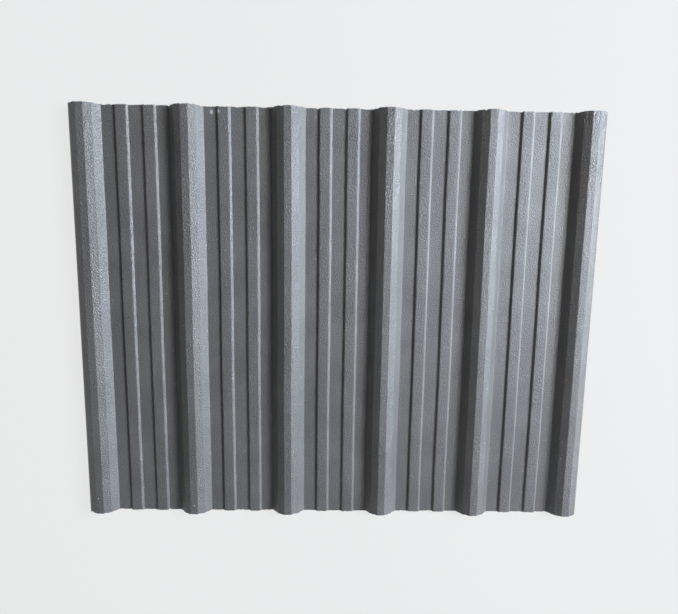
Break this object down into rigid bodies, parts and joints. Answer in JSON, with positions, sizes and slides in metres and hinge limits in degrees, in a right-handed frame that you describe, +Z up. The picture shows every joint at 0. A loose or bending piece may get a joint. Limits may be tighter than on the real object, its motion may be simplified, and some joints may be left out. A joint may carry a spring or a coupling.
{
  "type": "pvc roof tile sheet",
  "caption": "Trapezoidal rigid PVC roofing sheet with raised ribs and low stiffening swages, lapped with its neighbours to cover a roof.",
  "frame": {"origin": "centre of the sheet's outline, on the underside of its flat pans", "axes": "+X across the ribs, +Y along the ribs, +Z up with the ribs on top"},
  "size_m": [1.13, 0.908, 0.025],
  "materials": {
    "pvc": "dark grey, satin, with a fine stipple embossed on it"
  },
  "bodies": {
    "root": {"roof_sheet": "pvc"}
  },
  "joints": []
}
